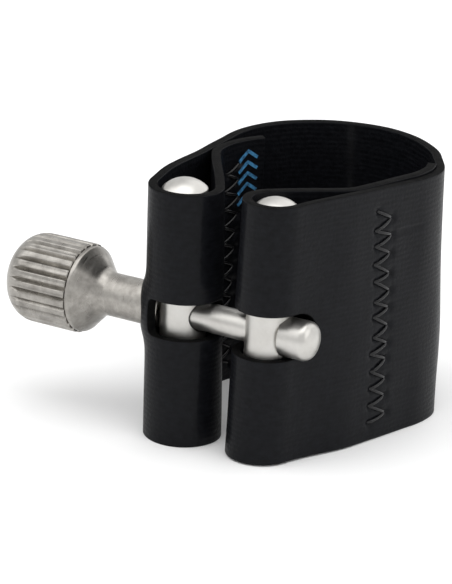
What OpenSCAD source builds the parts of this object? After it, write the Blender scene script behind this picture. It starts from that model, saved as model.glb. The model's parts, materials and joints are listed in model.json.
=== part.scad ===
// Strap ligature for a saxophone mouthpiece: one folded strap closed by a thumbscrew between two rods.
// Millimetres. Origin on the mouthpiece axis, at the strap's lower edge. +Z runs up the mouthpiece,
// -Y points to the rods and +X runs along the screw, from the knob to the sleeve nut.

/* [Strap] */
// Thickness of one layer of the coated fabric
strap_t = 1.1; // [0.9:0.05:1.3]
// Width of the strap, which is the ligature's height
strap_h = 31.3; // [28:0.1:36]
// Inside radius of the relaxed ring
ring_r = 11.7; // [11:0.1:14]
// Inside radius of the two loops that hold the rods
loop_r = 3.25; // [3.15:0.05:3.5]
// Angle at which the left end leaves its loop, from +X
left_flap_angle = 34; // [28:1:45]
// Angle at which the right end leaves its loop, measured the same way but mirrored
right_flap_angle = 57; // [45:1:65]
// Angle behind the mouthpiece's widest point where both sewn ends are cut off
flap_end_angle = 7; // [4:1:12]

/* [Slots] */
// Height of the slot in the left loop
left_slot_h = 4.5; // [4:0.1:5.1]
// Height of the slot in the right loop
right_slot_h = 5.4; // [5:0.1:6]

/* [Rods] */
// Diameter of both rods
rod_d = 5.56; // [5:0.01:5.8]
// Overall length of a rod, domes included
rod_len = 31.75; // [29:0.05:32]
// Height of the dome on each end of a rod
dome_h = 1.25; // [0.8:0.05:2]
// Distance between the rods at the screw
rod_gap = 11.8; // [11.4:0.1:13]
// Distance from the mouthpiece axis forward to the rods
rod_front = 22.7; // [21:0.1:25]
// How far the rods sit towards the knob from the mouthpiece axis
rod_offset = 0.9; // [0:0.1:1.5]
// Angle by which each rod leans outwards at the top
rod_splay = 1.15; // [0:0.05:1.5]

/* [Screw] */
// Diameter of the fluted knob
knob_d = 11.1; // [10:0.1:13]
// Number of flutes around the knob
flutes = 26; // [20:1:32]
// Depth of a flute
flute_depth = 0.42; // [0.2:0.02:0.6]
// Length of the fluted barrel, with its domed end
barrel_len = 10.3; // [8:0.1:12]
// Length of the domed end
barrel_dome = 4.2; // [2:0.1:6]
// Length of the smooth rim and cone behind the barrel
cone_len = 3.75; // [2.5:0.05:5]
// Diameter of the neck that bears on the left rod
neck_d = 5; // [4.9:0.1:5.2]
// Length of the neck
neck_len = 7.5; // [5:0.1:9]
// Outside diameter of the threaded stud
stud_d = 2.84; // [2.5:0.02:3]
// Length of the stud beyond the neck
stud_len = 11; // [9:0.1:11.5]

/* [Sleeve nut] */
// Outside diameter of the sleeve between the rods
sleeve_d = 3.5; // [3.4:0.05:3.8]
// Diameter of the domed head
head_d = 4.8; // [4.4:0.1:5]
// How far the head stands out from the right rod
head_len = 3.7; // [3:0.05:5]

/* [Seams] */
// Thickness of the sewing thread
thread_d = 0.36; // [0.25:0.01:0.45]
// Width of the zigzag
zigzag_w = 2.0; // [1.4:0.1:2.6]
// Number of half zigzags in a seam
zigzag_n = 24; // [16:2:50]
// Clear strap above and below a seam
seam_margin = 2.6; // [2:0.1:5]

/* [Hidden] */
$fn = 96;

far = 100;                              // longer than anything in the part
screw_z = strap_h / 2 - 0.1;            // height of the screw's axis
left_x = -rod_offset - rod_gap / 2;     // left rod's axis at the screw
right_x = -rod_offset + rod_gap / 2;    // right rod's axis at the screw
rod_r = rod_d / 2;
rod_top = 32.15;                        // height of the rods' upper tips
seat_depth = 0.5;                       // spot face that the neck bears on, and the head's
seat_x = left_x - rod_r + seat_depth;   // plane of the left rod's spot face
play = 0.04;                            // running clearance of turning and sliding pieces
bore_play = 0.2;                        // clearance of the sleeve in the left rod
sleeve_x = left_x + 0.6;                // left end of the sleeve
sleeve_bore_len = 11.4;
left_seam_y = -4.5;                     // each seam crosses its side wall here
right_seam_y = -8.5;
inner_sink = thread_d / 2 - 0.05;       // the inner threads are pulled almost flush with the ring

function polar(r, a) = [r * cos(a), r * sin(a)];

// Outward normal of a side wall: its inner face touches the sewn end on the ring and the loop's inside.
// Both sides are drawn as the nut's side, at x > 0, and the knob's side is then mirrored.
function wall_normal(x) = acos((ring_r + strap_t - loop_r) / norm([x, rod_front])) - atan2(rod_front, x);
right_normal = wall_normal(right_x);
left_normal = wall_normal(-left_x);

step_angle = 12;                        // length of the step behind a sewn end
key = 2;                                // joined outlines overlap by this angle
lap = 0.02;                             // straight faces stand this far inside the arcs they run into

// ---- flat outlines ----

// Wedge with its point at the origin, from angle a0 up to angle a1.
module wedge(a0, a1) {
    steps = ceil((a1 - a0) / 60);
    polygon(concat([[0, 0]], [for (i = [0:steps]) polar(far, a0 + (a1 - a0) * i / steps)]));
}

// Distance from point start along direction dir to the line at distance d whose normal is n.
function reach(start, dir, n, d) = (d - start * polar(1, n)) / (polar(1, dir) * polar(1, n));

// Side wall, loop and folded end. The end leaves its loop where the loop's normal is at flap_angle
// from -X, runs back to the wall, and lies along it.
module side_outline(x, flap_angle) {
    rod_at = [x, -rod_front];
    normal = wall_normal(x);
    flap_normal = 180 - flap_angle;
    flap_dir = flap_normal - 90;
    outer = loop_r + strap_t - lap;
    inner = loop_r - lap;
    out_start = rod_at + polar(outer, flap_normal);
    in_start = rod_at + polar(inner, flap_normal);
    knee = out_start + polar(reach(out_start, flap_dir, normal, ring_r - 2 * lap), flap_dir);
    crotch = in_start + polar(reach(in_start, flap_dir, normal, ring_r + strap_t - lap), flap_dir);
    past = polar(ring_r * tan(key), normal + 90);
    difference() {
        union() {
            translate(rod_at) circle(loop_r + strap_t);
            polygon([
                rod_at, rod_at + polar(outer, normal), polar(ring_r + 2 * strap_t - lap, normal) + past,
                polar(ring_r - 2 * lap, normal) + past, knee, out_start
            ]);
        }
        translate(rod_at) circle(loop_r);
        polygon([rod_at, rod_at + polar(inner, normal), crotch, in_start]);
    }
}

// Two layers of strap on the ring, from the side wall to the cut end, and the step down behind them.
module sewn_outline(normal) {
    a0 = flap_end_angle;
    a1 = a0 + step_angle;
    am = (a0 + a1) / 2;
    intersection() {
        circle(ring_r + 2 * strap_t);
        wedge(normal - 2 * key, a0);
    }
    polygon([
        polar(ring_r + strap_t, a0 - key), polar(ring_r + 2 * strap_t - lap, a0 - key),
        polar(ring_r + 1.7 * strap_t, am), polar(ring_r + strap_t - lap, a1 + key),
        polar(ring_r - strap_t / 4, a1 + key), polar(ring_r + 0.6 * strap_t, am)
    ]);
}

// The strap seen from above: one layer round the back, and both sides.
module strap_outline() {
    single = flap_end_angle + step_angle;
    difference() {
        union() {
            intersection() {
                circle(ring_r + strap_t);
                wedge(single, 180 - single);
            }
            side_outline(right_x, right_flap_angle);
            sewn_outline(right_normal);
            mirror([1, 0]) {
                side_outline(-left_x, left_flap_angle);
                sewn_outline(left_normal);
            }
        }
        circle(ring_r);
    }
}

// ---- strap ----

// Slot of height h through one loop, open around the loop's front and round at its inner end.
module slot_cut(x, h) {
    out = loop_r + strap_t + 1;
    along_screw(x - out) cylinder(d = h, h = 2 * out);
    translate([x - out, -rod_front - out, screw_z - h / 2 + 3 * lap]) cube([2 * out, out, h - 6 * lap]);
}

module strap() {
    color("#1b1b1d")
    difference() {
        linear_extrude(strap_h) strap_outline();
        slot_cut(left_x, left_slot_h);
        slot_cut(right_x, right_slot_h);
        // the neck is wider than its slot and pushes it open
        along_screw(left_x - far) cylinder(d = neck_d + 0.4, h = far);
    }
}

// ---- seams ----

// One straight piece of thread from p to q, with eight flat sides.
module stitch(p, q) {
    v = q - p;
    across = norm([v[0], v[1]]);
    translate(p) rotate([0, atan2(across, v[2]), atan2(v[1], v[0])])
        translate([0, 0, -thread_d / 4]) cylinder(d = thread_d, h = norm(v) + thread_d / 2, $fn = 8);
}

// Zigzag across a side wall at y, drawn for the nut's side. depth is how far the thread's centre
// lies from the mouthpiece axis, measured square to the wall.
module zigzag(normal, y, depth) {
    along = normal + 90;
    centre = polar(depth, normal);
    shift = (y - centre[1]) / sin(along);
    pitch = (strap_h - 2 * seam_margin) / zigzag_n;
    points = [for (i = [0:zigzag_n])
        let (w = shift + (i % 2 == 0 ? -1 : 1) * zigzag_w / 2, p = centre + polar(w, along))
        [p[0], p[1], seam_margin + i * pitch]];
    for (i = [1:zigzag_n]) stitch(points[i - 1], points[i]);
}

module seam_left_outer() {
    color("#101012") mirror([1, 0, 0]) zigzag(left_normal, left_seam_y, ring_r + 2 * strap_t);
}
module seam_left_inner() {
    color("#101012") mirror([1, 0, 0]) zigzag(left_normal, left_seam_y, ring_r + inner_sink);
}
module seam_right_outer() {
    color("#101012") zigzag(right_normal, right_seam_y, ring_r + 2 * strap_t);
}
module seam_right_inner() {
    color("#101012") zigzag(right_normal, right_seam_y, ring_r + inner_sink);
}

// ---- rods ----

// Shallow dome that closes a rod, on the XY plane.
module rod_dome() {
    cap_r = (rod_r * rod_r + dome_h * dome_h) / (2 * dome_h);
    intersection() {
        translate([0, 0, dome_h - cap_r]) sphere(cap_r);
        cylinder(r = rod_r, h = far);
    }
}

// Round rod with a dome on each end, its lower tip at the origin.
module domed_rod() {
    translate([0, 0, dome_h]) cylinder(r = rod_r, h = rod_len - 2 * dome_h);
    translate([0, 0, rod_len - dome_h]) rod_dome();
    translate([0, 0, dome_h]) mirror([0, 0, 1]) rod_dome();
}

// Rod in place: leaning by the splay about the point where the screw crosses it.
module placed_rod(x, lean) {
    translate([x, -rod_front, screw_z]) rotate([0, lean, 0])
        translate([0, 0, rod_top - rod_len - screw_z]) domed_rod();
}

module left_rod() {
    color("#dcdad4")
    difference() {
        placed_rod(left_x, -rod_splay);
        along_screw(left_x - far) cylinder(d = sleeve_d + 2 * bore_play, h = 2 * far);
        along_screw(seat_x - far) cylinder(d = neck_d + 0.3, h = far);
    }
}

module right_rod() {
    color("#dcdad4")
    difference() {
        placed_rod(right_x, rod_splay);
        along_screw(right_x - far) cylinder(d = sleeve_d, h = 2 * far);
        along_screw(right_x + rod_r - seat_depth) cylinder(d = head_d + 0.1, h = far);
    }
}

// ---- screw and nut ----

// Puts children that are drawn up +Z onto the screw's axis, from x towards the nut.
module along_screw(x) {
    translate([x, -rod_front, screw_z]) rotate([0, 90, 0]) children();
}

module sleeve_nut() {
    head_x = right_x + rod_r - seat_depth;
    total = head_len + seat_depth;
    edge = 1.5;                         // radius of the head's rounded end
    color("#dcdad4")
    difference() {
        union() {
            along_screw(sleeve_x) cylinder(d = sleeve_d, h = head_x - sleeve_x + 1);
            along_screw(head_x) rotate_extrude() union() {
                square([head_d / 2, total - edge]);
                square([head_d / 2 - edge, total]);
                translate([head_d / 2 - edge, total - edge]) intersection() {
                    circle(edge);
                    square(edge);
                }
            }
        }
        along_screw(sleeve_x - 1) cylinder(d = stud_d + 2 * play, h = sleeve_bore_len + 1);
    }
}

// Barrel outline from its axis: straight side, then a quarter of an ellipse to the free end.
function barrel_profile() = concat(
    [[0, 0], [knob_d / 2, 0]],
    [for (a = [0:6:84]) [knob_d / 2 * cos(a), barrel_len - barrel_dome + barrel_dome * sin(a)]],
    [[0, barrel_len]]);

flute_pitch = 360 / flutes;
module fluted_section(length) {
    linear_extrude(length)
        polygon([for (i = [0:flutes - 1], s = [0:2])
            polar(knob_d / 2 - (s == 2 ? flute_depth : 0), flute_pitch * (i + [-0.28, 0.28, 0.5][s]))]);
}

knob_end = seat_x - play;               // neck's bearing face
rim_h = 0.95;                           // width of the smooth rim
module thumb_knob() {
    color("#b9b4aa")
    difference() {
        union() {
            along_screw(knob_end - neck_len) cylinder(d = neck_d, h = neck_len);
            // cone and smooth rim
            along_screw(knob_end - neck_len - cone_len) {
                cylinder(d = knob_d - 0.5, h = rim_h);
                translate([0, 0, rim_h]) cylinder(d1 = knob_d - 0.5, d2 = neck_d, h = cone_len - rim_h);
            }
            // barrel, turned first and then fluted
            along_screw(knob_end - neck_len - cone_len) mirror([0, 0, 1]) intersection() {
                rotate_extrude() polygon(barrel_profile());
                fluted_section(barrel_len);
            }
        }
        along_screw(knob_end - stud_seat) cylinder(d = stud_d, h = far);
    }
}

stud_seat = 5;                          // length of stud pressed into the neck
module threaded_stud() {
    chamfer = 0.5;
    color("#c9c6bf") along_screw(knob_end - stud_seat) {
        cylinder(d = stud_d, h = stud_seat + stud_len - chamfer);
        translate([0, 0, stud_seat + stud_len - chamfer])
            cylinder(d1 = stud_d, d2 = stud_d - 2 * chamfer, h = chamfer);
    }
}

strap();
seam_left_outer();
seam_left_inner();
seam_right_outer();
seam_right_inner();
left_rod();
right_rod();
sleeve_nut();
thumb_knob();
threaded_stud();
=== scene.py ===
"""Strap ligature for a saxophone mouthpiece: the looks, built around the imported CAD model.

Shapes are written in millimetres in the CAD frame and turned into metres where a mesh is made.
The frame's origin is on the mouthpiece axis, +Z runs up it, -Y points to the rods and +X runs along
the screw from the knob to the nut.
"""
import json
import math
import random

import bmesh
import bpy
import numpy as np
from mathutils import Matrix, Vector


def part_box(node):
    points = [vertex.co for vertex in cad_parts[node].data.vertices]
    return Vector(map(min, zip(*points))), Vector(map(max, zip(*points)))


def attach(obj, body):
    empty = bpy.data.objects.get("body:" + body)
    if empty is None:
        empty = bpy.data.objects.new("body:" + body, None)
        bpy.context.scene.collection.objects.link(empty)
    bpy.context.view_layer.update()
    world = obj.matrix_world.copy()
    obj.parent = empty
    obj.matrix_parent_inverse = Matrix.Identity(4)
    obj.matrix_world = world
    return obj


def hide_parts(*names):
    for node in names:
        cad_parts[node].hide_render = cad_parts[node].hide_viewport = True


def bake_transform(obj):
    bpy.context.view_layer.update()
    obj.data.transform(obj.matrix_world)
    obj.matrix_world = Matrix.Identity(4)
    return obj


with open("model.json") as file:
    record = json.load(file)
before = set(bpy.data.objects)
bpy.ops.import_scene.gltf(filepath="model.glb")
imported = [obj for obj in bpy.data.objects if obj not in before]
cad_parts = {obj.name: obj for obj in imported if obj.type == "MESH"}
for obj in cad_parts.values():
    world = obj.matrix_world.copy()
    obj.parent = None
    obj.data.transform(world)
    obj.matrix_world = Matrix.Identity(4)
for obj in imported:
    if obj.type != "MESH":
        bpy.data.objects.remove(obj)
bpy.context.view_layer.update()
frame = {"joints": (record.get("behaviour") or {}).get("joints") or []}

MM = 0.001


# ---------------------------------------------------------------- sizes taken from the frame

def box_mm(node):
    low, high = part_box(node)
    return np.array(low) / MM, np.array(high) / MM


turn = next(j for j in frame["joints"] if j["name"] == "thumbscrew_turn")
SCREW_Y, SCREW_Z = turn["pos_m"][1] / MM, turn["pos_m"][2] / MM
STRAP_LOW, STRAP_HIGH = box_mm("strap")
WIDTH = STRAP_HIGH[2] - STRAP_LOW[2]                # width of the strap
BACK_Y = STRAP_HIGH[1]                              # outside of the strap's back
KNOB_LOW, KNOB_HIGH = box_mm("thumb_knob")
SLEEVE_LOW, SLEEVE_HIGH = box_mm("sleeve_nut")
SLEEVE_X, HEAD_TIP_X = SLEEVE_LOW[0], SLEEVE_HIGH[0]
STUD_LOW, STUD_HIGH = box_mm("threaded_stud")

THICK = 1.1                                         # thickness of the strap
ROD_R = 2.78
ROD_LEN = 31.75
ROD_DOME = 1.25                                     # height of a rod's domed end
ROD_TOP = 32.15                                     # height of a rod's top before it leans
LEAN = math.radians(1.15)                           # each rod leans outwards at the top
ROD_X = {"left": -6.8, "right": 5.0}                # rods' axes at the height of the screw
SEAT = 0.5                                          # depth of the spot faces in the rods
NECK_R = 2.5                                        # the knob's neck where it bears on the left rod
NECK_OUT_R = 2.65                                   # the same neck outside the loop
HEAD_R = 2.4
SLEEVE_R = 1.75
STUD_R = 1.42
PITCH = 0.635                                       # of the screw's thread


# ---------------------------------------------------------------- helpers

def polar(r, angle):
    return np.array([r * math.cos(angle), r * math.sin(angle)])


def smoothstep(x):
    x = np.clip(x, 0.0, 1.0)
    return x * x * (3 - 2 * x)


def hump(x, middle, width):
    """Bell curve that is 1 at the middle."""
    return np.exp(-(((x - middle) / width) ** 2))


def new_object(name, verts, faces, materials, face_materials=None, smooth_angle=32):
    """A mesh object from vertices in millimetres, smooth except at edges sharper than smooth_angle."""
    mesh = bpy.data.meshes.new(name)
    mesh.from_pydata([tuple(v) for v in np.asarray(verts) * MM], [], faces)
    for m in materials:
        mesh.materials.append(m)
    if face_materials is not None:
        mesh.polygons.foreach_set("material_index", face_materials)
    bm = bmesh.new()
    bm.from_mesh(mesh)
    bmesh.ops.recalc_face_normals(bm, faces=bm.faces)
    bm.to_mesh(mesh)
    bm.free()
    mesh.shade_smooth()
    mesh.set_sharp_from_angle(angle=math.radians(smooth_angle))
    obj = bpy.data.objects.new(name, mesh)
    bpy.context.scene.collection.objects.link(obj)
    return obj


def bake_modifiers(obj, smooth_angle=32):
    """Replaces the object's mesh by what its modifiers make of it."""
    bpy.context.view_layer.update()
    graph = bpy.context.evaluated_depsgraph_get()
    mesh = bpy.data.meshes.new_from_object(obj.evaluated_get(graph))
    obj.modifiers.clear()
    obj.data = mesh
    mesh.shade_smooth()
    mesh.set_sharp_from_angle(angle=math.radians(smooth_angle))


def ring_faces(rows, columns, first=0):
    """Quads of a closed band of rows, each a ring of columns vertices."""
    return [
        (first + j * columns + i, first + j * columns + (i + 1) % columns,
         first + (j + 1) * columns + (i + 1) % columns, first + (j + 1) * columns + i)
        for j in range(rows - 1) for i in range(columns)
    ]


def capped_ring_faces(rows, columns, first=0):
    """The band of ring_faces and a flat cap over each of its ends."""
    last = first + (rows - 1) * columns
    caps = [tuple(range(first, first + columns))[::-1], tuple(range(last, last + columns))]
    return ring_faces(rows, columns, first) + caps


def lathe(name, profile, material, columns=96, radius=None):
    """Solid of revolution about +X through the screw's axis. profile is (x, r) from one end to the other,
    and radius, if given, changes r at each angle."""
    verts = []
    for x, r in profile:
        for i in range(columns):
            a = 2 * math.pi * i / columns
            q = radius(x, r, a) if radius else r
            verts.append((x, SCREW_Y + q * math.sin(a), SCREW_Z + q * math.cos(a)))
    return new_object(name, verts, capped_ring_faces(len(profile), columns), [material])


def arc_points(cx, cr, radius, a0, a1, steps):
    """Profile points (x, r) on an arc about (cx, cr), angles in degrees from +X towards +r."""
    return [
        (cx + radius * math.cos(math.radians(a)), cr + radius * math.sin(math.radians(a)))
        for a in np.linspace(a0, a1, steps + 1)
    ]


# ---------------------------------------------------------------- the strap's path

# The strap runs like a belt over round pulleys: over the ring's back, round a rod, and back along the
# wall to its cut end. Each side is drawn at x > 0, and the knob's side is mirrored. A pulley is
# (centre, radius), and a radius below zero turns the strap the other way.
RING_MID = 13.75                                    # radius of the strap's middle round the back
BACK_REACH = 1.0                                    # how far the back stands out past the CAD's
RING_Y = BACK_Y + BACK_REACH - RING_MID - THICK / 2     # centre of that circle
LAYER = THICK + 0.03                                # from one sewn layer's middle to the next
STEP = 0.05                                         # spacing of the path's samples

SIDES = {
    # loop: radius of the strap's middle in the loop, at the lower and the upper edge
    # shift: how far the loop hangs from its rod towards the other one
    # knee, end: radius of the folded end's two bends
    # knee_back, end_back: where they touch the sewn stretch, along the wall from the ring's centre
    # tail: length of the last bend, up to the cut end
    # lift: how far the strap has ridden up, at the lower and the upper edge
    # seam_y: where the seam crosses the wall
    "left": dict(sign=-1, loop=(4.15, 3.96), shift=0.22, knee=6.4, knee_back=4.4, end=9.9, end_back=4.6,
                 tail=6.4, lift=(0.0, 0.4), seam_y=-4.5),
    "right": dict(sign=1, loop=(3.65, 3.40), shift=0.1, knee=4.2, knee_back=8.9, end=12.6, end_back=0.0,
                  tail=6.0, lift=(0.2, 0.7), seam_y=-9.9),
}


def loop_radius(side, z):
    low, high = SIDES[side]["loop"]
    return low + (high - low) * z / WIDTH


def belt(pulleys):
    """Directions of the path's left normal on each straight run between pulleys."""
    normals = []
    for (c1, r1), (c2, r2) in zip(pulleys[:-1], pulleys[1:]):
        gap = np.subtract(c2, c1)
        normals.append(math.atan2(gap[1], gap[0]) + math.acos((r1 - r2) / np.linalg.norm(gap)))
    return normals


def side_path(side, z):
    """(s, points, normals) of one side's middle line at height z. s is 0 at the front of the loop."""
    d = SIDES[side]
    ring = np.array([0.0, RING_Y])
    out = math.tan(LEAN) * (z - SCREW_Z) - d["shift"]
    loop = np.array([abs(ROD_X[side]) + out, SCREW_Y])
    loop_r = loop_radius(side, z)
    wall = belt([(ring, RING_MID), (loop, loop_r)])[0]
    n, back = polar(1, wall), polar(1, wall + math.pi / 2)
    inner = RING_MID - LAYER
    knee = ring + (inner - d["knee"]) * n - d["knee_back"] * back
    end = ring + (inner - d["end"]) * n - d["end_back"] * back
    flap, lying = belt([(loop, loop_r), (knee, -d["knee"]), (end, -d["end"])])
    turns = [                                       # centre, radius, first and last direction
        (ring, RING_MID, math.pi / 2, wall),
        (loop, loop_r, wall, flap - 2 * math.pi),
        (knee, -d["knee"], flap, lying),
        (end, -d["end"], lying, lying + d["tail"] / d["end"]),
    ]
    points, angles = [], []
    for centre, r, a0, a1 in turns:
        for a in np.linspace(a0, a1, max(3, int(abs(r * (a1 - a0)) / STEP) + 1)):
            p = centre + r * polar(1, a)
            if points and np.linalg.norm(p - points[-1]) > STEP:
                last, run = points[-1], p - points[-1]
                steps = int(np.linalg.norm(run) / STEP)
                points.extend([last + run * k / steps for k in range(1, steps)])
                angles.extend([a] * (steps - 1))
            points.append(p)
            angles.append(a)
    points, angles = np.array(points), np.array(angles)
    s = np.concatenate([[0], np.cumsum(np.linalg.norm(np.diff(points, axis=0), axis=1))])
    front = np.argmin(points[:, 1])
    return s - s[front], points, np.stack([np.cos(angles), np.sin(angles)], 1)


class Sheet:
    """One side of the strap as a surface over (s, z): s along the strap and z across it, in millimetres."""

    HEIGHTS = np.linspace(-1, 34, 8)
    KEPT = 10                                       # s keeps its true length this far round the loop

    def __init__(self, side):
        self.side = side
        self.facts = SIDES[side]
        paths = [side_path(side, z) for z in self.HEIGHTS]
        middle = side_path(side, SCREW_Z)
        self.start, self.stop = middle[0][0], middle[0][-1]
        self.s = np.arange(self.start, self.stop + STEP / 2, STEP)
        self.rows = []
        for s, points, normals in paths:
            marks = [self.start, -self.KEPT, self.KEPT, self.stop]
            stretch = np.interp(self.s, marks, [s[0], -self.KEPT, self.KEPT, s[-1]])
            columns = [np.interp(stretch, s, v) for v in (*points.T, *normals.T)]
            self.rows.append(np.stack(columns, 1))
        self.rows = np.array(self.rows)
        self.neck_s = self.where_y(SCREW_Y, before=True)

    def where_y(self, y, before):
        """s at which the wall (before the loop) or the folded end (after it) passes y, near mid-height."""
        level = self.rows[len(self.rows) // 2]
        part = self.s < 0 if before else self.s > 0
        return float(self.s[part][np.argmin(np.abs(level[part, 1] - y))])

    def rise(self, s, z):
        """How far the strap has ridden up at (s, z)."""
        low, high = self.facts["lift"]
        lift = low + (high - low) * z / WIDTH
        if self.side == "left":
            # only the outer wall behind the rod, not the front of the loop
            return lift * hump(s, -10, 6)
        # all of the loop, less on the folded end, and nothing at the back of the ring
        reach = smoothstep((s - self.start - 20) / (-self.start - 26))
        fall = smoothstep((s - 6) / (self.stop - 4))
        return lift * reach * (1 - 0.6 * fall)

    def flare(self, xy, z):
        """How far the stiff strap stands away from the belt's path."""
        x, y = np.moveaxis(xy, -1, 0)
        if self.side == "left":
            # it bows out behind the rod and lies flatter where it meets the ring
            amount = 0.35 * hump(y, -17, 6) * smoothstep((x - 7) / 3)
            amount = amount - 0.3 * hump(y, -1, 5) * smoothstep(x / 9)
        else:
            # the wall stands out more towards the bottom, and the ring turns in behind it
            wall = 0.6 + 0.9 * (1 - z / WIDTH)
            ring = 0.9 * hump(z, 10, 7.5) - 0.5
            amount = wall + (ring - wall) * smoothstep((y - RING_Y - 0.5) / 7)
            amount = amount * smoothstep((y + 24) / 10) * smoothstep(x / 9)
        away = np.stack([np.maximum(x, 1.0), np.maximum(y - RING_Y, 0)], -1)
        return away / np.linalg.norm(away, axis=-1)[..., None] * amount[..., None]

    def place(self, s, z, offset):
        """Points at (s, z), offset outwards from the strap's middle."""
        s, z, offset = np.broadcast_arrays(*(np.asarray(v, float) for v in (s, z, offset)))
        height = z + self.rise(s, z)
        level_gap = self.HEIGHTS[1] - self.HEIGHTS[0]
        f = np.clip((s - self.s[0]) / STEP, 0, len(self.s) - 1.001)
        g = np.clip((height - self.HEIGHTS[0]) / level_gap, 0, len(self.HEIGHTS) - 1.001)
        i, j = f.astype(int), g.astype(int)
        u, v = (f - i)[..., None], (g - j)[..., None]
        below = self.rows[j, i] * (1 - u) + self.rows[j, i + 1] * u
        above = self.rows[j + 1, i] * (1 - u) + self.rows[j + 1, i + 1] * u
        row = below * (1 - v) + above * v
        middle, normal = row[..., :2], row[..., 2:]
        xy = middle + normal * offset[..., None] + self.flare(middle, z)
        return np.concatenate([xy * [self.facts["sign"], 1], height[..., None]], -1)


# ---------------------------------------------------------------- seams

SEAM_W = 2.5                                        # width of the zigzag
SEAM_LOW, SEAM_HIGH = 2.0, 28.5                     # lower and upper end of every seam
STITCHES = 24
HOLE_SPREAD_S, HOLE_SPREAD_Z = 0.24, 0.2            # how far a needle hole strays along s and z
GROOVE_DEPTH, GROOVE_W = 0.20, 0.30                 # what a stitch presses into the strap
HOLE_DEPTH, HOLE_W = 0.42, 0.34                     # what a needle hole pulls in
THREAD_R = 0.21


def seam_points(sheet, before, seed):
    """Needle holes (s, z) of the zigzag on the wall (before the loop) or on the folded end."""
    rng = random.Random(seed)
    middle = sheet.where_y(sheet.facts["seam_y"], before)
    pitch = (SEAM_HIGH - SEAM_LOW) / STITCHES
    return [
        (middle + (-1) ** k * SEAM_W / 2 + rng.uniform(-HOLE_SPREAD_S, HOLE_SPREAD_S),
         SEAM_LOW + k * pitch + rng.uniform(-HOLE_SPREAD_Z, HOLE_SPREAD_Z))
        for k in range(STITCHES + 1)
    ]


def seam_dents(points, s, z):
    """How deep the seam pulls the surface in: a groove under each stitch and a pit at each hole."""
    depth = np.zeros(s.shape)
    for (s0, z0), (s1, z1) in zip(points[:-1], points[1:]):
        along = np.array([s1 - s0, z1 - z0])
        t = np.clip(((s - s0) * along[0] + (z - z0) * along[1]) / (along @ along), 0, 1)
        d2 = (s - s0 - t * along[0]) ** 2 + (z - z0 - t * along[1]) ** 2
        depth = np.maximum(depth, GROOVE_DEPTH * np.exp(-d2 / (2 * GROOVE_W ** 2)))
    for s0, z0 in points:
        d2 = (s - s0) ** 2 + (z - z0) ** 2
        depth = np.maximum(depth, HOLE_DEPTH * np.exp(-d2 / (2 * HOLE_W ** 2)))
    return depth


def add_thread(name, sheet, points, material):
    """The thread of one seam: every stitch is a slightly flat bar that dives into the strap at its ends."""
    sides, steps = 10, 9
    flatness, rise = 0.85, 0.44                     # of the bar's section, and from its ends to its top
    t = np.linspace(0, 1, steps)
    arch = np.sin(np.pi * np.clip(t * 1.02, 0, 1)) ** 0.45
    height = THICK / 2 - HOLE_DEPTH + rise * arch
    verts, faces = [], []
    for (s0, z0), (s1, z1) in zip(points[:-1], points[1:]):
        first = len(verts)
        line = sheet.place(s0 + (s1 - s0) * t, z0 + (z1 - z0) * t, height)
        out = sheet.place(s0 + (s1 - s0) * t, z0 + (z1 - z0) * t, height + 1) - line
        ahead = np.gradient(line, axis=0)
        ahead /= np.linalg.norm(ahead, axis=1)[:, None]
        across = np.cross(ahead, out)
        across /= np.linalg.norm(across, axis=1)[:, None]
        up = np.cross(across, ahead)
        for k in range(steps):
            for i in range(sides):
                a = 2 * math.pi * i / sides
                ring = math.cos(a) * across[k] + flatness * math.sin(a) * up[k]
                verts.append(line[k] + THREAD_R * ring)
        faces += capped_ring_faces(steps, sides, first)
    return new_object(name, verts, faces, [material], smooth_angle=60)


# ---------------------------------------------------------------- the strap's mesh

CELL, COARSE = 0.3, 0.6                             # mesh cells with detail and without
SLOT = {
    # half of the slot's height, and how far its middle lies above the screw
    "left": (2.26, 0.05),
    "right": (2.72, 0.35),
}
SLOT_CORNER = 0.7
SLOT_START = math.radians(33)                       # the left slot starts this far before the loop's front
NECK_GAP = 0.08                                     # between the neck and its hole


def rounded_box(s, z, s0, s1, z0, half, corner):
    """Signed distance to a box from s0 to s1 and z0 - half to z0 + half with rounded corners."""
    qs = np.abs(s - (s0 + s1) / 2) - (s1 - s0) / 2 + corner
    qz = np.abs(z - z0) - half + corner
    return np.hypot(np.maximum(qs, 0), np.maximum(qz, 0)) + np.minimum(np.maximum(qs, qz), 0) - corner


def slot_distance(sheet, s, z):
    """Signed distance to the openings in one loop: below zero inside them."""
    half, above = SLOT[sheet.side]
    r = loop_radius(sheet.side, SCREW_Z)
    screw_z = SCREW_Z - sheet.rise(s, SCREW_Z)
    middle = screw_z + above
    inner_s = r * math.pi / 2                       # where the sleeve passes the folded end
    if sheet.side == "left":
        # the neck has its own hole, and the slot starts in front of it and ends round on the folded end
        hole = np.hypot(s - sheet.neck_s, z - screw_z) - NECK_OUT_R - NECK_GAP
        hidden_end = inner_s + 2.3                  # beyond inner_s the round end takes over
        front = rounded_box(s, z, -r * SLOT_START, hidden_end, middle, half, SLOT_CORNER)
        round_end = np.hypot(np.maximum(s - inner_s, 0), z - middle) - half
        return np.minimum(hole, np.where(s > inner_s, round_end, front))
    ends = np.maximum(np.maximum(s - inner_s, sheet.neck_s - s), 0)
    return np.hypot(ends, z - middle) - half


CREASES = [((-20.6, 25.3), (-26.5, 25.9)), ((-20.8, 5.4), (-26.2, 5.0))]    # (s, z) on the right wall
CREASE_DEPTH, CREASE_W, CREASE_SWAY = 0.12, 0.24, 0.12


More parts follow.
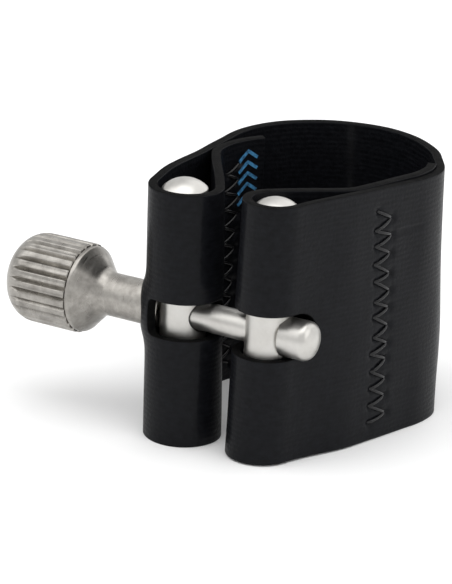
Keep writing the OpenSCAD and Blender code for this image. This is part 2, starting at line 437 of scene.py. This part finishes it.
def crease_depth(sheet, s, z):
    """Shallow creases that run back from the right seam."""
    depth = np.zeros(s.shape)
    if sheet.side == "left":
        return depth
    for (s0, z0), (s1, z1) in CREASES:
        t = (s - s0) / (s1 - s0)
        line = z0 + (z1 - z0) * t + CREASE_SWAY * np.sin(7 * t)
        fade = smoothstep(t / 0.2 + 0.5) * smoothstep((1 - t) / 0.3)
        depth = depth + CREASE_DEPTH * fade * hump(z, line, CREASE_W)
    return depth


def bulge(sheet, s, z):
    """How far the left loop is pushed outwards round the neck."""
    if sheet.side == "right":
        return 0.0
    height, reach, width = 0.62, 2.4, 1.7
    d = np.hypot(s - sheet.neck_s, z - SCREW_Z)
    return height * hump(np.maximum(d, reach), reach, width)


def columns_of(sheet):
    """Values of s for the strap's columns: close together where there are seams, a loop or slots."""
    seam, margin = sheet.facts["seam_y"], 2.5
    behind = margin if sheet.side == "left" else 7  # the right wall has its creases behind the seam
    inner_s = loop_radius(sheet.side, SCREW_Z) * math.pi / 2
    marks = [
        (sheet.start, COARSE),                                  # the ring
        (sheet.where_y(seam + behind, True), CELL),             # the seam on the wall
        (sheet.where_y(seam - margin, True), COARSE * 0.75),    # the wall
        (sheet.neck_s - 4.5, CELL),                             # the loop and its slot
        (inner_s + 4.2, COARSE * 0.75),                         # the folded end
        (sheet.where_y(seam - margin, False), CELL),            # the seam on the folded end
        (sheet.stop, CELL),
    ]
    s = []
    for (a, cell), (b, _) in zip(marks[:-1], marks[1:]):
        s.extend(np.linspace(a, b, max(2, int(round((b - a) / cell)) + 1))[:-1])
    return np.array(s + [sheet.stop])


def snap_to_slots(sheet, s, z):
    """Moves the grid's points next to the openings onto their outline. Returns the quads that stay."""
    d = slot_distance(sheet, s, z)
    centre = (d[1:, 1:] + d[1:, :-1] + d[:-1, 1:] + d[:-1, :-1]) / 4
    keep = centre > 0
    stays, goes = np.zeros(s.shape, bool), np.zeros(s.shape, bool)
    for mask, corners in ((keep, stays), (~keep, goes)):
        for dj in (0, 1):
            for di in (0, 1):
                corners[dj:dj + mask.shape[0], di:di + mask.shape[1]] |= mask
    rim = stays & goes
    near = (d < 1.2) & ~rim
    for border in (near[0], near[-1], near[:, 0], near[:, -1]):
        border[:] = False
    s, z = s.copy(), z.copy()
    h = 0.01                                        # step for the slopes
    for _ in range(4):
        a, b = s[rim], z[rim]
        value = slot_distance(sheet, a, b)
        gs = (slot_distance(sheet, a + h, b) - slot_distance(sheet, a - h, b)) / (2 * h)
        gz = (slot_distance(sheet, a, b + h) - slot_distance(sheet, a, b - h)) / (2 * h)
        size = np.maximum(gs ** 2 + gz ** 2, 0.3)
        s[rim], z[rim] = a - value * gs / size, b - value * gz / size
    for _ in range(6):
        for v in (s, z):
            mean = (np.roll(v, 1, 0) + np.roll(v, -1, 0) + np.roll(v, 1, 1) + np.roll(v, -1, 1)) / 4
            v[near] = mean[near]
    return s, z, keep


def add_strap(side, materials):
    """One half of the strap, from the middle of the back to the cut end, as a closed mesh."""
    sheet = SHEETS[side]
    rows = int(round(WIDTH / CELL)) + 1
    s, z = np.meshgrid(columns_of(sheet), np.linspace(0, WIDTH, rows))
    s, z, keep = snap_to_slots(sheet, s, z)
    dents = crease_depth(sheet, s, z)
    for before in (True, False):
        dents = np.maximum(dents, seam_dents(SEAM_HOLES[side, before], s, z))
    push = bulge(sheet, s, z)
    # faint unevenness, fading out where the two halves meet
    wave = 0.035 * np.sin(0.9 * s + 0.3) * np.sin(0.31 * z + 0.5) * smoothstep((s - sheet.start) / 6)
    outer = sheet.place(s, z, THICK / 2 + push + wave - dents)
    inner = sheet.place(s, z, -THICK / 2 + push + wave)
    count = s.size
    verts = np.concatenate([outer.reshape(-1, 3), inner.reshape(-1, 3)])
    index = np.arange(count).reshape(s.shape)
    fabric, cut_edge = 0, 1
    faces, kinds, border = [], [], {}
    for j, i in np.argwhere(keep):
        quad = (index[j, i], index[j, i + 1], index[j + 1, i + 1], index[j + 1, i])
        faces.append(quad)
        faces.append(tuple(v + count for v in quad[::-1]))
        kinds += [fabric, fabric]
        for a, b in zip(quad, quad[1:] + quad[:1]):
            if (b, a) in border:
                del border[b, a]
            else:
                border[a, b] = True
    back_line = set(index[:, 0])
    for a, b in border:
        faces.append((b, a, a + count, b + count))
        kinds.append(fabric if a in back_line and b in back_line else cut_edge)
    strap = new_object("strap_" + side, verts, faces, materials, kinds, smooth_angle=50)
    spread = strap.data.attributes.new("fabric", "FLOAT_VECTOR", "POINT")
    flat = np.stack([s.ravel(), z.ravel(), np.zeros(count)], 1) * MM
    spread.data.foreach_set("vector", np.concatenate([flat, flat]).astype(np.float32).ravel())
    soften_rims(strap)
    return strap


def soften_rims(obj):
    """Rounds the cut edges a little and removes vertices that no face uses."""
    bm = bmesh.new()
    bm.from_mesh(obj.data)
    bmesh.ops.delete(bm, geom=[v for v in bm.verts if not v.link_faces], context="VERTS")
    weight = bm.edges.layers.float.new("bevel_weight_edge")
    for e in bm.edges:
        if len(e.link_faces) == 2 and e.link_faces[0].material_index != e.link_faces[1].material_index:
            e[weight] = 1.0
    bm.to_mesh(obj.data)
    bm.free()
    rounding = obj.modifiers.new("rounding", "BEVEL")
    rounding.limit_method = "WEIGHT"
    rounding.width = 0.09 * MM
    rounding.segments = 2
    rounding.use_clamp_overlap = False
    bake_modifiers(obj, smooth_angle=50)


# ---------------------------------------------------------------- metal pieces

def cut_away(obj, cutters):
    """Subtracts the cutters from obj and removes them."""
    for cutter in cutters:
        cut = obj.modifiers.new("cut", "BOOLEAN")
        cut.operation = "DIFFERENCE"
        cut.solver = "EXACT"
        cut.object = cutter
    bake_modifiers(obj)
    for cutter in cutters:
        bpy.data.objects.remove(cutter)


def bar_along_screw(x0, x1, r):
    return lathe("cutter", [(x0, r), (x1, r)], MATERIALS["plated_metal"], columns=72)


def add_rod(side):
    """Round rod with domed ends, bored for the sleeve and with a spot face for the neck or the head."""
    edge = 0.35                                     # radius between the round side and a dome
    cap = (ROD_R ** 2 + ROD_DOME ** 2) / (2 * ROD_DOME)
    half = ROD_LEN / 2
    blend_angle = math.degrees(math.asin((ROD_R - edge) / (cap - edge)))
    drop = half - cap + (cap - edge) * math.cos(math.radians(blend_angle))
    top = [(half - cap + cap * math.cos(math.radians(a)), cap * math.sin(math.radians(a)))
           for a in np.linspace(1.5, blend_angle, 9)]
    top += [(drop + edge * math.cos(math.radians(a)), ROD_R - edge + edge * math.sin(math.radians(a)))
            for a in np.linspace(blend_angle, 90, 6)[1:]]
    stations = [(h, ROD_R) for h in np.linspace(-drop, drop, 13)[1:-1]]
    profile = [(-h, r) for h, r in top] + stations + [(h, r) for h, r in top[::-1]]
    columns = 96
    verts = [
        (r * math.cos(2 * math.pi * i / columns), r * math.sin(2 * math.pi * i / columns), h)
        for h, r in profile for i in range(columns)
    ]
    sign = SIDES[side]["sign"]
    shift = Matrix.Translation(Vector((0, 0, ROD_TOP - half - SCREW_Z)))
    lean = Matrix.Rotation(sign * LEAN, 4, "Y")
    place = Matrix.Translation(Vector((ROD_X[side], SCREW_Y, SCREW_Z))) @ lean @ shift
    verts = [place @ Vector(v) for v in verts]
    faces = capped_ring_faces(len(profile), columns)
    rod = new_object(side + "_rod_body", verts, faces, [MATERIALS["plated_metal"]])
    seat = ROD_X[side] + sign * (ROD_R - SEAT)
    # the sleeve slides through the left rod and sits tight in the right one
    bore = SLEEVE_R + (0.2 if side == "left" else 0.015)
    spot = (NECK_R + 0.15) if side == "left" else (HEAD_R + 0.05)
    cut_away(rod, [
        bar_along_screw(ROD_X[side] - 8, ROD_X[side] + 8, bore),
        bar_along_screw(seat, seat + sign * 8, spot),
    ])
    return rod


def add_sleeve_nut():
    """Smooth sleeve with a blind bore for the stud and a polished domed head."""
    bore_depth = 11.4
    bore_end = SLEEVE_X + bore_depth
    seat = ROD_X["right"] + ROD_R - SEAT
    bore, chamfer, corner, crown = STUD_R + 0.04, 0.2, 1.15, 0.32
    profile = [
        (bore_end, bore * 0.4), (bore_end, bore),
        (SLEEVE_X + chamfer, bore), (SLEEVE_X, bore + chamfer * 0.6),
        (SLEEVE_X, SLEEVE_R - chamfer * 0.6), (SLEEVE_X + chamfer, SLEEVE_R),
    ]
    profile += [(x, SLEEVE_R) for x in np.linspace(SLEEVE_X + 1, seat - 0.02, 12)]
    profile += [(seat, SLEEVE_R + 0.02), (seat, HEAD_R - 0.12), (seat + 0.12, HEAD_R)]
    profile += [(x, HEAD_R) for x in np.linspace(seat + 0.4, HEAD_TIP_X - corner - crown - 0.1, 6)]
    profile += arc_points(HEAD_TIP_X - corner - crown, HEAD_R - corner, corner, 84, 12, 10)
    face_r, face_x = profile[-1][1], profile[-1][0]
    profile += [(face_x + (HEAD_TIP_X - face_x) * (1 - (r / face_r) ** 2), r)
                for r in np.linspace(face_r, 0.12, 8)[1:]]
    return lathe("sleeve_nut_turned", profile, MATERIALS["plated_metal"])


FLUTES = 26
FLUTE_DEPTH = 0.44
RIM_W = 0.6                                         # width of the smooth rim next to the flutes
CONE_LEN = 3.75
NECK_LEN = 7.5
KNOB_R = (KNOB_HIGH[2] - KNOB_LOW[2]) / 2
BARREL_END = KNOB_HIGH[0] - NECK_LEN - CONE_LEN     # where the flutes stop


def fluted(x, r, a):
    """Radius of the knob at angle a: the flutes are cut at a fixed depth and run out over the domed end."""
    if x > BARREL_END:
        return r
    phase = (a * FLUTES / (2 * math.pi)) % 1.0
    groove = max(0.0, 1 - abs(phase - 0.5) / 0.23)
    worn = 0.05 * abs(math.cos(math.pi * phase)) ** 8
    return min(r, KNOB_R - FLUTE_DEPTH * groove ** 0.8 - worn)


def add_knob():
    """Fluted barrel with a domed end, smooth rim, cone with a fillet into the neck, and the stud's bore."""
    tip, rim_r = KNOB_LOW[0], KNOB_R - 0.25
    dome = 4.1                                      # length of the domed end
    profile = []
    for t in np.linspace(0.02, 1, 22):
        a = t * math.pi / 2
        profile.append((tip + dome * (1 - math.cos(a) ** 0.92), KNOB_R * math.sin(a) ** 0.93))
    profile += [(x, KNOB_R) for x in np.linspace(tip + dome + 0.5, BARREL_END - 0.3, 9)]
    profile += [(BARREL_END - 0.1, KNOB_R - 0.02), (BARREL_END, KNOB_R - 0.12)]
    rim_end = BARREL_END + RIM_W
    profile += [(BARREL_END + 0.01, rim_r - 0.1), (BARREL_END + 0.1, rim_r), (rim_end - 0.25, rim_r)]
    profile += arc_points(rim_end - 0.25, rim_r - 0.35, 0.35, 70, 35, 3)
    # the cone's straight side runs into a hollow fillet that ends on the neck
    fillet, slope = 1.9, 46
    neck_start = BARREL_END + CONE_LEN + 0.1
    hollow = arc_points(neck_start, NECK_OUT_R + fillet, fillet, 270 - slope, 270, 10)
    profile += [(profile[-1][0] + (hollow[0][0] - profile[-1][0]) * t,
                 profile[-1][1] + (hollow[0][1] - profile[-1][1]) * t) for t in (0.33, 0.66)]
    profile += hollow
    end, chamfer = KNOB_HIGH[0], 0.15
    inside = end - 1.6                              # from here to the rod the neck is turned down
    profile += [(x, NECK_OUT_R) for x in np.linspace(neck_start + 1, inside, 4)]
    profile += [(inside + 0.25, NECK_R), (end - chamfer, NECK_R)]
    bore = STUD_R + 0.02
    profile += [(end, NECK_R - chamfer), (end, bore + 0.1), (end - 0.1, bore), (STUD_LOW[0] - 0.02, bore)]
    return lathe("thumb_knob_fluted", profile, MATERIALS["satin_metal"], FLUTES * 14, fluted)


def add_stud():
    """The screw's thread, with a plain shank where it is pressed into the neck."""
    shank_end, tip = KNOB_HIGH[0], STUD_HIGH[0]
    depth = 0.36

    def thread(x, r, a):
        if x < shank_end + 0.3 or x > tip - 0.02:
            return r
        phase = (x / PITCH - a / (2 * math.pi)) % 1.0
        crest = abs(2 * phase - 1)
        return min(r, STUD_R - depth * (1 - np.clip(crest * 1.25 - 0.125, 0, 1)))

    xs = np.arange(shank_end + 0.3, tip - 0.5, PITCH / 9)
    profile = [(STUD_LOW[0], STUD_R - 0.2), (STUD_LOW[0] + 0.2, STUD_R), (shank_end, STUD_R)]
    profile += [(x, STUD_R) for x in xs]
    profile += [(tip - 0.4, STUD_R - 0.02), (tip - 0.2, STUD_R - 0.2), (tip, STUD_R - 0.45)]
    return lathe("threaded_stud_cut", profile, MATERIALS["satin_metal"], 48, thread)


# ---------------------------------------------------------------- printed mark

def add_mark(sheet, material):
    """A generic printed sign near the left cut end: a column of chevrons, as a thin layer of ink."""
    half_w, ink = 0.21, 0.045                       # ink: deeper than the waves in the fabric
    base = sheet.stop + 1.3
    lowest, pitch, count = 23.0, 1.4, 5
    heights = [lowest + pitch * k for k in range(count)]
    strokes = [[(-5.4, z), (-3.9, z + 1.25), (-2.4, z + 0.3)] for z in heights]
    verts, faces = [], []
    for stroke in strokes:
        line = []
        for (s0, z0), (s1, z1) in zip(stroke[:-1], stroke[1:]):
            line += [(s0 + (s1 - s0) * t, z0 + (z1 - z0) * t) for t in np.linspace(0, 1, 7)[:-1]]
        line = np.array(line + [stroke[-1]])
        ahead = np.gradient(line, axis=0)
        ahead /= np.linalg.norm(ahead, axis=1)[:, None]
        across = np.stack([-ahead[:, 1], ahead[:, 0]], 1) * half_w
        first = len(verts)
        for p, q in zip(line, across):
            for (s, z), height in ((p - q, -ink), (p + q, -ink), (p + q, ink), (p - q, ink)):
                verts.append(sheet.place(base + s, z, THICK / 2 + height))
        faces += capped_ring_faces(len(line), 4, first)
    return new_object("printed_mark", verts, faces, [material])


# ---------------------------------------------------------------- materials

class Nodes:
    """One material and a short way to build its node tree."""

    def __init__(self, name):
        self.material = bpy.data.materials.new(name)
        self.material.use_nodes = True
        self.tree = self.material.node_tree
        self.shader = self.tree.nodes["Principled BSDF"]

    def add(self, kind, inputs=(), **settings):
        node = self.tree.nodes.new(kind)
        for key, value in settings.items():
            setattr(node, key, value)
        for key, value in dict(inputs).items():
            if isinstance(value, bpy.types.NodeSocket):
                self.tree.links.new(value, node.inputs[key])
            else:
                node.inputs[key].default_value = value
        return node

    def ramp(self, value, low, high, at=(0.3, 0.7)):
        """A ramp from low to high, colours or plain numbers, between two positions of value."""
        node = self.add("ShaderNodeValToRGB", {"Fac": value})
        for element, place, colour in zip(node.color_ramp.elements, at, (low, high)):
            rgb = (colour,) * 3 if isinstance(colour, float) else colour
            element.position = place
            element.color = (*rgb, 1)
        return node.outputs["Color"]

    def bump(self, height, distance_mm, strength=1.0, under=None):
        inputs = {"Height": height, "Distance": distance_mm * MM, "Strength": strength}
        if under is not None:
            inputs["Normal"] = under
        return self.add("ShaderNodeBump", inputs).outputs["Normal"]

    def connect(self, **sockets):
        for key, value in sockets.items():
            socket = self.shader.inputs[key.replace("_", " ")]
            if isinstance(value, bpy.types.NodeSocket):
                self.tree.links.new(value, socket)
            else:
                socket.default_value = value


def coated_fabric():
    """Black rubber-coated fabric: the woven backing shows through the coating as faint ribs and knots."""
    n = Nodes("strap_fabric")
    spread = n.add("ShaderNodeAttribute", attribute_name="fabric").outputs["Vector"]
    scaled = n.add("ShaderNodeMapping", {"Vector": spread, "Scale": (1 / MM, 1 / MM, 1)}).outputs["Vector"]
    ribs = n.add("ShaderNodeTexWave", {"Vector": scaled, "Scale": 0.5, "Distortion": 2.2, "Detail": 3.0,
                                       "Detail Scale": 0.9}, bands_direction="Y", wave_profile="SIN")
    picks = n.add("ShaderNodeTexWave", {"Vector": scaled, "Scale": 0.42, "Distortion": 5.0, "Detail": 3.0,
                                        "Detail Scale": 1.1}, bands_direction="X", wave_profile="SIN")
    knots = n.add("ShaderNodeMath", {0: picks.outputs["Fac"], 1: 0.18}, operation="MULTIPLY")
    weave = n.add("ShaderNodeMath", {0: ribs.outputs["Fac"], 1: knots.outputs[0]}, operation="ADD")
    grain = n.add("ShaderNodeTexNoise", {"Vector": scaled, "Scale": 2.6, "Detail": 4.0, "Roughness": 0.6})
    patches = n.add("ShaderNodeTexNoise", {"Vector": scaled, "Scale": 0.22, "Detail": 3.0,
                                           "Roughness": 0.55})
    scuffs = n.add("ShaderNodeTexNoise", {"Vector": scaled, "Scale": 1.1, "Detail": 5.0, "Roughness": 0.7})
    faded = n.add("ShaderNodeMath", {0: weave.outputs[0], 1: patches.outputs["Fac"]}, operation="MULTIPLY")
    normal = n.bump(faded.outputs[0], 0.07, 0.55)
    normal = n.bump(grain.outputs["Fac"], 0.07, 0.9, under=normal)
    colour = n.ramp(scuffs.outputs["Fac"], (0.0030, 0.0032, 0.0041), (0.0068, 0.0073, 0.0092),
                    at=(0.35, 0.7))
    rough = n.ramp(scuffs.outputs["Fac"], 0.36, 0.50, at=(0.3, 0.72))
    n.connect(Base_Color=colour, Roughness=rough, Normal=normal, Specular_IOR_Level=0.055,
              Coat_Weight=0.105, Coat_Roughness=0.14)
    return n.material


def cut_fabric():
    """Cut edge of the strap: matt and fuzzy."""
    n = Nodes("strap_cut_edge")
    spread = n.add("ShaderNodeTexCoord").outputs["Object"]
    fibres = n.add("ShaderNodeTexNoise", {"Vector": spread, "Scale": 5200.0, "Detail": 4.0,
                                          "Roughness": 0.7})
    tufts = n.add("ShaderNodeTexNoise", {"Vector": spread, "Scale": 900.0, "Detail": 3.0, "Roughness": 0.6})
    colour = n.ramp(tufts.outputs["Fac"], (0.0012, 0.0012, 0.0014), (0.0055, 0.0054, 0.0053),
                    at=(0.35, 0.7))
    normal = n.bump(fibres.outputs["Fac"], 0.05, 0.8)
    n.connect(Base_Color=colour, Roughness=0.72, Normal=normal, Specular_IOR_Level=0.04)
    return n.material


def waxed_thread():
    """Glossy black bonded thread."""
    n = Nodes("sewing_thread")
    spread = n.add("ShaderNodeTexCoord").outputs["Object"]
    plies = n.add("ShaderNodeTexNoise", {"Vector": spread, "Scale": 4200.0, "Detail": 2.0})
    colour = n.ramp(plies.outputs["Fac"], (0.004, 0.004, 0.0045), (0.012, 0.012, 0.013))
    n.connect(Base_Color=colour, Roughness=0.2, Normal=n.bump(plies.outputs["Fac"], 0.03, 0.8),
              Specular_IOR_Level=0.3)
    return n.material


def plated_metal():
    """Polished nickel plate with a faint haze and fine scratches."""
    n = Nodes("plated_metal")
    spread = n.add("ShaderNodeTexCoord").outputs["Object"]
    haze = n.add("ShaderNodeTexNoise", {"Vector": spread, "Scale": 420.0, "Detail": 4.0, "Roughness": 0.6})
    along = n.add("ShaderNodeMapping", {"Vector": spread, "Scale": (2600, 2600, 160)}).outputs["Vector"]
    scratches = n.add("ShaderNodeTexNoise", {"Vector": along, "Scale": 1.0, "Detail": 3.0,
                                             "Roughness": 0.6})
    colour = n.ramp(haze.outputs["Fac"], (0.51, 0.497, 0.47), (0.61, 0.60, 0.575))
    rough = n.ramp(haze.outputs["Fac"], 0.32, 0.44)
    n.connect(Base_Color=colour, Metallic=1.0, Roughness=rough,
              Normal=n.bump(scratches.outputs["Fac"], 0.006, 0.5))
    return n.material


def satin_metal():
    """Satin nickel with the rings that turning leaves."""
    n = Nodes("satin_metal")
    spread = n.add("ShaderNodeTexCoord").outputs["Object"]
    turned = n.add("ShaderNodeMapping", {"Vector": spread, "Scale": (3800, 300, 300)}).outputs["Vector"]
    rings = n.add("ShaderNodeTexNoise", {"Vector": turned, "Scale": 1.0, "Detail": 4.0, "Roughness": 0.65})
    stains = n.add("ShaderNodeTexNoise", {"Vector": spread, "Scale": 520.0, "Detail": 5.0,
                                          "Roughness": 0.65})
    colour = n.ramp(stains.outputs["Fac"], (0.21, 0.198, 0.182), (0.40, 0.383, 0.355), at=(0.3, 0.66))
    rough = n.ramp(rings.outputs["Fac"], 0.24, 0.42)
    n.connect(Base_Color=colour, Metallic=1.0, Roughness=rough,
              Normal=n.bump(rings.outputs["Fac"], 0.02, 0.6))
    return n.material


def blue_ink():
    """Worn blue print."""
    n = Nodes("blue_ink")
    spread = n.add("ShaderNodeTexCoord").outputs["Object"]
    wear = n.add("ShaderNodeTexNoise", {"Vector": spread, "Scale": 1500.0, "Detail": 4.0, "Roughness": 0.7})
    colour = n.ramp(wear.outputs["Fac"], (0.02, 0.075, 0.15), (0.06, 0.26, 0.50), at=(0.38, 0.58))
    n.connect(Base_Color=colour, Roughness=0.5)
    return n.material


def pale_floor():
    """Nearly white floor with a faint cloudiness."""
    n = Nodes("pale_floor")
    spread = n.add("ShaderNodeTexCoord").outputs["Object"]
    cloud = n.add("ShaderNodeTexNoise", {"Vector": spread, "Scale": 6.0, "Detail": 2.0})
    colour = n.ramp(cloud.outputs["Fac"], (0.90, 0.90, 0.90), (0.92, 0.92, 0.92))
    n.connect(Base_Color=colour, Roughness=0.7, Specular_IOR_Level=0.2)
    return n.material


MATERIALS = {
    "strap_fabric": coated_fabric(),
    "cut_edge": cut_fabric(),
    "sewing_thread": waxed_thread(),
    "plated_metal": plated_metal(),
    "satin_metal": satin_metal(),
    "ink": blue_ink(),
    "floor": pale_floor(),
}


# ---------------------------------------------------------------- camera, floor and light

def direction(azimuth, elevation):
    """Unit vector towards a viewer or a light. Azimuth 0 is -Y, and it grows towards +X."""
    a, e = math.radians(azimuth), math.radians(elevation)
    return Vector((math.sin(a) * math.cos(e), -math.cos(a) * math.cos(e), math.sin(e)))


def add_camera(azimuth, elevation, roll, distance, aim, aim_right, aim_up, lens):
    """Long-lens camera at distance mm from the point aim, which lies a little off the view's centre."""
    a, r = math.radians(azimuth), math.radians(roll)
    back = direction(azimuth, elevation)
    level = Vector((math.cos(a), math.sin(a), 0))
    upright = back.cross(level)
    right = level * math.cos(r) + upright * math.sin(r)
    up = upright * math.cos(r) - level * math.sin(r)
    camera = bpy.data.objects.new("camera", bpy.data.cameras.new("camera"))
    bpy.context.scene.collection.objects.link(camera)
    place = (Vector(aim) + back * distance + right * aim_right + up * aim_up) * MM
    turn_to = Matrix((right, up, back)).transposed().to_4x4()
    camera.matrix_world = Matrix.Translation(place) @ turn_to
    camera.data.lens = lens
    camera.data.sensor_width = 36
    camera.data.clip_start, camera.data.clip_end = 0.01, 20
    bpy.context.scene.camera = camera


SOFTBOX_DISTANCE = 0.9
SOFTBOXES = [                                       # name, azimuth, elevation, size, radiance
    ("key", -55, 45, 0.7, 1.1),
    ("fill", 95, 30, 0.7, 1.0),
    ("top", 20, 82, 0.8, 1.6),
    ("back", 170, 35, 0.9, 0.6),
]


def add_softbox(name, azimuth, elevation, size, radiance):
    """Square soft light that faces the object, in metres. A radiance of 1 looks white in a mirror."""
    back = direction(azimuth, elevation)
    light = bpy.data.lights.new(name, "AREA")
    light.size = size
    light.energy = radiance * math.pi * size ** 2
    obj = bpy.data.objects.new(name, light)
    obj.location = back * SOFTBOX_DISTANCE + Vector((0, 0, SCREW_Z * MM))
    obj.rotation_mode = "QUATERNION"
    obj.rotation_quaternion = (-back).to_track_quat("-Z", "Y")
    bpy.context.scene.collection.objects.link(obj)


def add_floor(size=6.0):
    """Square floor under the object, size in metres."""
    mesh = bpy.data.meshes.new("floor")
    corners = [(x * size / 2, y * size / 2, 0) for x, y in ((-1, -1), (1, -1), (1, 1), (-1, 1))]
    mesh.from_pydata(corners, [], [(0, 1, 2, 3)])
    mesh.materials.append(MATERIALS["floor"])
    floor = bpy.data.objects.new("floor", mesh)
    bpy.context.scene.collection.objects.link(floor)


def add_surroundings(strength):
    """Even white light from all round, and colours shown as they are."""
    world = bpy.data.worlds.new("studio")
    world.use_nodes = True
    background = world.node_tree.nodes["Background"]
    background.inputs["Color"].default_value = (1.0, 1.0, 1.0, 1)
    background.inputs["Strength"].default_value = strength
    bpy.context.scene.world = world
    bpy.context.scene.view_settings.view_transform = "Standard"


BETWEEN_RODS = ((ROD_X["left"] + ROD_X["right"]) / 2 + 0.44, SCREW_Y, SCREW_Z)
add_camera(azimuth=30, elevation=19.5, roll=2.4, distance=350, aim=BETWEEN_RODS,
           aim_right=-0.3, aim_up=3.56, lens=182.5)
add_floor()
add_surroundings(0.85)
for softbox in SOFTBOXES:
    add_softbox(*softbox)


# ---------------------------------------------------------------- the object


def place_piece(obj, body, slot, *nodes):
    """Puts a finished piece on its body in place of its CAD nodes; a piece for bends is attached to no body
    and only has its placement baked into its mesh.
    """
    if body == "bends":
        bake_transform(obj)
    else:
        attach(obj, body)
    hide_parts(*nodes)


SHEETS = {side: Sheet(side) for side in SIDES}
SEAMS = [(side, before) for side in SIDES for before in (True, False)]
SEAM_HOLES = {
    (side, before): seam_points(SHEETS[side], before, seed)
    for seed, (side, before) in enumerate(SEAMS)
}
for side, body in (("left", "strap_side"), ("right", "bends")):
    strap = add_strap(side, [MATERIALS["strap_fabric"], MATERIALS["cut_edge"]])
    place_piece(strap, body, "strap_fabric", "strap")
    for before, where in ((True, "outer"), (False, "inner")):
        thread = add_thread(f"seam_{side}_{where}_thread", SHEETS[side], SEAM_HOLES[side, before],
                            MATERIALS["sewing_thread"])
        place_piece(thread, body, "sewing_thread", f"seam_{side}_{where}")

mark = add_mark(SHEETS["left"], MATERIALS["ink"])
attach(mark, "strap_side")
place_piece(add_rod("left"), "strap_side", "plated_metal", "left_rod")
place_piece(add_rod("right"), "nut_side", "plated_metal", "right_rod")
place_piece(add_sleeve_nut(), "nut_side", "plated_metal", "sleeve_nut")
place_piece(add_knob(), "screw", "satin_metal", "thumb_knob")
place_piece(add_stud(), "screw", "satin_metal", "threaded_stud")
